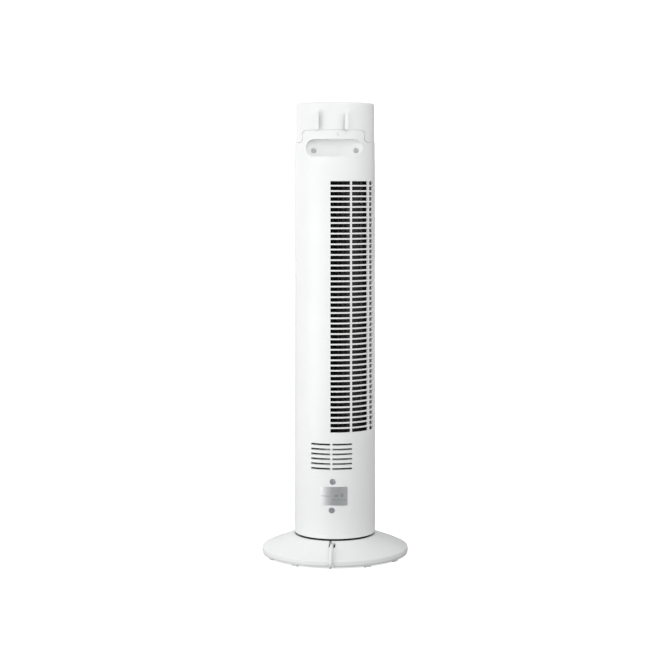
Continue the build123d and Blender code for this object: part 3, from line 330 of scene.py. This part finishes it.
def board():
    s = Shader("circuit_board")
    tracks = s.cells(260.0)
    copper = s.spread(tracks, 0.0, 1.0, 0.44, 0.47)
    s.colour(s.mixed(copper, (0.015, 0.12, 0.045), (0.05, 0.24, 0.09)))
    s.roughness(s.spread(s.noise(500.0), 0.3, 0.45))
    s.bump((copper, 0.00004))
    return s.material


LABEL_PRINT = [                # from, to, level below the top, thickness: shares of the plate
    (0.03, 0.35, 0.50, 0.030),
    (0.44, 0.96, 0.70, 0.030),
    (0.54, 0.66, 0.48, 0.130),
    (0.76, 0.85, 0.46, 0.190),
]


def foil_label():
    """Foil plate, brushed across, with two ruled lines and two plain marks instead of print; a
    painted highlight makes it paler towards its +X side and a weaker painted sheen lightens its
    -X edge.
    """
    low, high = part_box("rating_label")
    width, tall = high.x - low.x, high.z - low.z
    s = Shader("foil_label")
    brush = s.noise(1.0, 3.0, 0.7, s.stretched((300.0, 300.0, 9000.0)))
    split = s.tree.nodes.new("ShaderNodeSeparateXYZ")
    s.link(s.place, split.inputs[0])
    across = s.math("DIVIDE", s.math("SUBTRACT", high.x, split.outputs["X"]), width)
    below = s.math("DIVIDE", s.math("SUBTRACT", high.z, split.outputs["Z"]), tall)
    ink = 0.0
    for start, end, level, thick in LABEL_PRINT:
        aside = s.math("ABSOLUTE", s.math("SUBTRACT", across, (start + end) / 2))
        above = s.math("ABSOLUTE", s.math("SUBTRACT", below, level))
        mark = s.math("MULTIPLY", s.math("LESS_THAN", aside, (end - start) / 2),
                      s.math("LESS_THAN", above, thick / 2))
        ink = s.math("MAXIMUM", ink, mark)
    foil = s.mixed(s.spread(brush, 0.0, 1.0), (0.46, 0.478, 0.485), (0.55, 0.568, 0.575))
    # painted highlight: the foil turns pale towards the +X side, where the key light falls, and
    # a weaker painted sheen lightens the -X edge
    painted_highlight = s.spread(across, 1.0, 0.0, 0.08, 0.45)
    painted_edge_sheen = s.spread(across, 0.0, 0.32, 0.70, 1.0)
    foil = s.mixed(s.math("MAXIMUM", painted_highlight, painted_edge_sheen), foil, (0.86, 0.865, 0.87))
    s.colour(s.mixed(s.math("MULTIPLY", ink, 0.55), foil, (0.22, 0.23, 0.24)))
    s.roughness(s.math("ADD", s.spread(brush, 0.28, 0.42), s.math("MULTIPLY", ink, 0.25)))
    s.bump((brush, 0.000004))
    s.set(Metallic=0.9)
    return s.material


def smoked():
    s = Shader("smoked_acrylic")
    haze = s.noise(220.0, 2.0)
    s.colour(s.mixed(s.spread(haze, 0.0, 1.0), (0.010, 0.010, 0.012), (0.018, 0.018, 0.021)))
    s.roughness(s.spread(haze, 0.04, 0.09))
    s.bump((haze, 0.000002))
    s.set(IOR=1.49, Coat_Weight=0.6, Coat_Roughness=0.03)
    return s.material


WHITE = ((0.831, 0.840, 0.836), (0.861, 0.868, 0.864))
FINISHES = {
    "tower_shell": moulded("tower_white_abs", *WHITE, (0.33, 0.40), 2600.0, 0.000006),
    "base_shell": moulded("base_white_abs", (0.808, 0.821, 0.817), (0.843, 0.852, 0.848),
                          (0.34, 0.43), 2400.0, 0.000007),
    "panel_gloss": moulded("panel_satin", (0.70, 0.705, 0.71), (0.76, 0.765, 0.77),
                           (0.20, 0.27), 3000.0, 0.000003, coat=0.3),
    "smoked_lens": smoked(),
    "button_grey": moulded("button_grey", (0.42, 0.43, 0.44), (0.49, 0.50, 0.51),
                           (0.45, 0.55), 2200.0, 0.000008),
    "black_plastic": moulded("black_moulded", (0.012, 0.012, 0.012), (0.026, 0.026, 0.027),
                             (0.42, 0.56), 1800.0, 0.00001),
    "white_acetal": moulded("white_acetal", (0.76, 0.76, 0.72), (0.82, 0.82, 0.79),
                            (0.38, 0.48), 1500.0, 0.000006),
    "white_pvc": moulded("white_flex_pvc", (0.78, 0.785, 0.78), (0.83, 0.832, 0.826),
                         (0.38, 0.50), 1200.0, 0.000012),
    "rubber_black": moulded("rubber_black", (0.022, 0.022, 0.022), (0.045, 0.044, 0.043),
                            (0.66, 0.84), 900.0, 0.00003),
    "rubber_white": moulded("rubber_white", (0.70, 0.705, 0.70), (0.78, 0.78, 0.775),
                            (0.55, 0.70), 900.0, 0.00002),
    "zinc_steel": metal("zinc_plated_steel", (0.36, 0.39, 0.43), (0.58, 0.60, 0.62),
                        (0.26, 0.42), (1400.0, 1400.0, 1400.0)),
    "laminated_steel": laminations(),
    "aluminium_hub": metal("turned_aluminium", (0.62, 0.62, 0.63), (0.76, 0.76, 0.77),
                           (0.22, 0.38), (300.0, 300.0, 6000.0)),
    "brass_contact": metal("brass", (0.60, 0.44, 0.19), (0.76, 0.60, 0.30),
                           (0.22, 0.36), (900.0, 900.0, 900.0)),
    "copper_winding": windings(),
    "circuit_board": board(),
    "silver_label": foil_label(),
}
for kind in frame["record"]["behaviour"].get("bodies", {}).values():
    for name in kind:
        obj = nodes[name]
        slot_name = obj.data.materials[0].name.split(".")[0]
        obj.data.materials.clear()
        obj.data.materials.append(FINISHES[slot_name])
mains_lead.data.materials.append(FINISHES["white_pvc"])


# ------------------------------------------------------------------ printed icons
ICON_LIFT = 0.00002
ICON_THICK = 0.00003


def printed_ink():
    s = Shader("printed_ink")
    speck = s.noise(1800.0, 2.0)
    s.colour(s.mixed(s.spread(speck, 0.0, 1.0), (0.05, 0.05, 0.055), (0.09, 0.09, 0.095)))
    s.roughness(s.spread(speck, 0.45, 0.6))
    s.bump((speck, 0.000003))
    return s.material


INK = printed_ink()


def add_stroke(mesh, points, width):
    """A flat ribbon along points (x, y in mm), with a little thickness."""
    lines = []
    for i, point in enumerate(points):
        before = Vector(points[max(i - 1, 0)])
        after = Vector(points[min(i + 1, len(points) - 1)])
        along = (after - before).normalized()
        side = Vector((-along.y, along.x)) * width / 2
        lines.append((Vector(point) - side, Vector(point) + side))
    rows = []
    for left, right in lines:
        rows.append([
            mesh.verts.new((p.x * MM, p.y * MM, z))
            for p, z in ((left, 0.0), (right, 0.0), (right, ICON_THICK), (left, ICON_THICK))
        ])
    for a, b in zip(rows, rows[1:]):
        for i in range(4):
            j = (i + 1) % 4
            mesh.faces.new((a[i], a[j], b[j], b[i]))
    mesh.faces.new(rows[0][::-1])
    mesh.faces.new(rows[-1])


def arc(radius, start, end, steps=28, centre=(0.0, 0.0)):
    return [
        (
            centre[0] + radius * math.cos(math.radians(start + (end - start) * i / steps)),
            centre[1] + radius * math.sin(math.radians(start + (end - start) * i / steps)),
        )
        for i in range(steps + 1)
    ]


def icon(name, body, button, strokes):
    low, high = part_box(button)
    mesh = bmesh.new()
    for points, width in strokes:
        add_stroke(mesh, points, width)
    bmesh.ops.recalc_face_normals(mesh, faces=mesh.faces)
    data = bpy.data.meshes.new(name)
    mesh.to_mesh(data)
    mesh.free()
    data.materials.append(INK)
    obj = bpy.data.objects.new(name, data)
    scene.collection.objects.link(obj)
    obj.location = ((low.x + high.x) / 2, (low.y + high.y) / 2, high.z + ICON_LIFT)
    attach(obj, body)
    return obj


LINE = 0.42
icon("power_icon", "power_button", "power_button", [
    (arc(2.3, 120, 420), LINE),
    ([(0.0, 0.5), (0.0, 2.9)], LINE),
])
icon("speed_icon", "speed_button", "speed_button", [
    (arc(0.55, 0, 360, 16), LINE),
    (arc(1.25, 200, 20, 14, (0.2, 1.7)), LINE),
    (arc(1.25, 320, 140, 14, (-1.55, -0.7)), LINE),
    (arc(1.25, 80, -100, 14, (1.4, -1.0)), LINE),
])
icon("mode_icon", "mode_button", "mode_button", [
    ([(-2.4 + 4.8 * i / 24, level + 0.5 * math.sin(i / 24 * 4 * math.pi)) for i in range(25)],
     LINE)
    for level in (-1.5, 0.0, 1.5)
])
icon("timer_icon", "timer_button", "timer_button", [
    (arc(2.4, 0, 360, 36), LINE),
    ([(0.0, 1.5), (0.0, 0.0), (1.1, -0.5)], LINE),
])
icon("swing_icon", "swing_button", "swing_button", [
    (arc(2.6, 215, 325), LINE),
    ([(-2.9, -0.5), (-2.2, -1.55), (-1.0, -1.2)], LINE),
    ([(2.9, -0.5), (2.2, -1.55), (1.0, -1.2)], LINE),
    ([(0.0, 0.0), (0.0, 2.4)], LINE),
    (arc(0.8, 0, 360, 16, (0.0, 1.6)), LINE),
])


# ------------------------------------------------------------------ plug grip
GRIP_RIBS = (-20.0, -16.8, -13.6, -10.4)       # along X
RIB_SECTION = ((-0.8, -0.3), (-0.45, 0.22), (0.45, 0.22), (0.8, -0.3))  # along X, outward
RIB_STEPS = 48
RIB_SINK = 0.6                 # the ribs' line lies this far inside the plug's box
RIB_SQUARENESS = 0.55          # power that turns the round rib into a soft rectangle


def soft_square(value):
    return math.copysign(abs(value) ** RIB_SQUARENESS, value)


def plug_grip():
    """Raised finger ribs moulded round the plug body."""
    low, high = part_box("plug_body")
    middle_y, middle_z = (low.y + high.y) / 2, (low.z + high.z) / 2
    half_y, half_z = (high.y - low.y) / 2, (high.z - low.z) / 2
    mesh = bmesh.new()
    for along in GRIP_RIBS:
        rings = []
        for offset, swell in RIB_SECTION:
            outward = (swell - RIB_SINK) * MM
            ring = []
            for i in range(RIB_STEPS):
                angle = 2 * math.pi * i / RIB_STEPS
                ring.append(mesh.verts.new((
                    (along + offset) * MM,
                    middle_y + (half_y + outward) * soft_square(math.cos(angle)),
                    middle_z + (half_z + outward) * soft_square(math.sin(angle)),
                )))
            rings.append(ring)
        for a, b in zip(rings, rings[1:] + rings[:1]):
            for i in range(RIB_STEPS):
                j = (i + 1) % RIB_STEPS
                mesh.faces.new((a[i], a[j], b[j], b[i]))
    bmesh.ops.recalc_face_normals(mesh, faces=mesh.faces)
    data = bpy.data.meshes.new("plug_grip")
    mesh.to_mesh(data)
    mesh.free()
    for face in data.polygons:
        face.use_smooth = True
    data.materials.append(FINISHES["white_pvc"])
    obj = bpy.data.objects.new("plug_grip", data)
    scene.collection.objects.link(obj)
    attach(obj, "base")
    return obj


grip = plug_grip()


# ------------------------------------------------------------------ floor and light
FLOOR_GLOW = 0.75
GREY_CENTRE = (-0.45, 0.30, 0.0)
GREY_REACH = (0.35, 1.6)
GREY_NEAR = (0.34, 0.34, 0.34)
GREY_FAR = (0.85, 0.85, 0.85)


def pale_floor():
    """Pale to look at; what it bounces back is greyer close to the fan than far away."""
    s = Shader("studio_floor")
    tone = s.noise(3.0, 2.0)
    s.colour(s.mixed(s.spread(tone, 0.0, 1.0), (0.93, 0.93, 0.93), (0.95, 0.95, 0.95)))
    s.roughness(s.spread(tone, 0.85, 0.9))
    s.set(Emission_Color=(1.0, 1.0, 1.0, 1.0), Emission_Strength=FLOOR_GLOW)
    distance = s.tree.nodes.new("ShaderNodeVectorMath")
    distance.operation = "DISTANCE"
    distance.inputs[1].default_value = GREY_CENTRE
    s.link(s.place, distance.inputs[0])
    share = s.spread(distance.outputs["Value"], 0.0, 1.0, *GREY_REACH)
    bounce = s.tree.nodes.new("ShaderNodeBsdfDiffuse")
    s.link(s.mixed(share, GREY_NEAR, GREY_FAR), bounce.inputs["Color"])
    rays = s.tree.nodes.new("ShaderNodeLightPath")
    choice = s.tree.nodes.new("ShaderNodeMixShader")
    s.link(rays.outputs["Is Camera Ray"], choice.inputs["Fac"])
    s.link(bounce.outputs[0], choice.inputs[1])
    s.link(s.surface.outputs[0], choice.inputs[2])
    s.link(choice.outputs[0], s.tree.nodes["Material Output"].inputs["Surface"])
    return s.material


FLOOR_HALF = 12.0
floor_data = bpy.data.meshes.new("studio_floor")
floor_data.from_pydata(
    [(-FLOOR_HALF, -FLOOR_HALF, 0), (FLOOR_HALF, -FLOOR_HALF, 0),
     (FLOOR_HALF, FLOOR_HALF, 0), (-FLOOR_HALF, FLOOR_HALF, 0)],
    [], [(0, 1, 2, 3)])
floor_data.materials.append(pale_floor())
floor = bpy.data.objects.new("studio_floor", floor_data)
scene.collection.objects.link(floor)

SKY_TOWARD = (0.70, 0.68, 0.22)        # the bright side of the sky
SKY_SPAN = (-0.95, -0.25)              # from its dark end to full level
SKY_LEVEL = 1.32
ZENITH_SHARE = 0.42                    # of the horizon's level
BACKDROP_LEVEL = 1.1


def studio_sky():
    """Soft sky, brightest to one side and at the horizon; plain white behind the object."""
    world = bpy.data.worlds.new("studio")
    world.use_nodes = True
    tree = world.node_tree
    tree.nodes.clear()
    output = tree.nodes.new("ShaderNodeOutputWorld")
    where = tree.nodes.new("ShaderNodeTexCoord")
    toward = tree.nodes.new("ShaderNodeVectorMath")
    toward.operation = "DOT_PRODUCT"
    toward.inputs[1].default_value = SKY_TOWARD
    level = tree.nodes.new("ShaderNodeMapRange")
    level.interpolation_type = "SMOOTHSTEP"
    level.inputs["From Min"].default_value = SKY_SPAN[0]
    level.inputs["From Max"].default_value = SKY_SPAN[1]
    level.inputs["To Min"].default_value = 0.0
    level.inputs["To Max"].default_value = SKY_LEVEL
    split = tree.nodes.new("ShaderNodeSeparateXYZ")
    zenith = tree.nodes.new("ShaderNodeMapRange")
    zenith.inputs["To Min"].default_value = 1.0
    zenith.inputs["To Max"].default_value = ZENITH_SHARE
    both = tree.nodes.new("ShaderNodeMath")
    both.operation = "MULTIPLY"
    dome = tree.nodes.new("ShaderNodeBackground")
    dome.inputs["Color"].default_value = (1.0, 1.0, 1.0, 1.0)
    backdrop = tree.nodes.new("ShaderNodeBackground")
    backdrop.inputs["Color"].default_value = (1.0, 1.0, 1.0, 1.0)
    backdrop.inputs["Strength"].default_value = BACKDROP_LEVEL
    rays = tree.nodes.new("ShaderNodeLightPath")
    choice = tree.nodes.new("ShaderNodeMixShader")
    for start, end in (
        (where.outputs["Generated"], toward.inputs[0]),
        (toward.outputs["Value"], level.inputs["Value"]),
        (where.outputs["Generated"], split.inputs[0]),
        (split.outputs["Z"], zenith.inputs["Value"]),
        (level.outputs["Result"], both.inputs[0]),
        (zenith.outputs["Result"], both.inputs[1]),
        (both.outputs["Value"], dome.inputs["Strength"]),
        (rays.outputs["Is Camera Ray"], choice.inputs["Fac"]),
        (dome.outputs[0], choice.inputs[1]),
        (backdrop.outputs[0], choice.inputs[2]),
        (choice.outputs[0], output.inputs["Surface"]),
    ):
        tree.links.new(start, end)
    return world


scene.world = studio_sky()


def soft_light(name, place, target, size, power):
    data = bpy.data.lights.new(name, "AREA")
    data.shape = "RECTANGLE"
    data.size = data.size_y = size
    data.energy = power
    light = bpy.data.objects.new(name, data)
    light.location = place
    light.rotation_mode = "QUATERNION"
    light.rotation_quaternion = (Vector(target) - Vector(place)).to_track_quat("-Z", "Y")
    scene.collection.objects.link(light)


soft_light("key_softbox", (0.94, 0.75, 0.26), (0.0, 0.0, 0.28), 0.9, 5.3)
soft_light("fill_softbox", (-0.80, 0.75, 1.45), (0.0, 0.0, 0.75), 1.4, 5.5)

scene.view_settings.view_transform = "Standard"
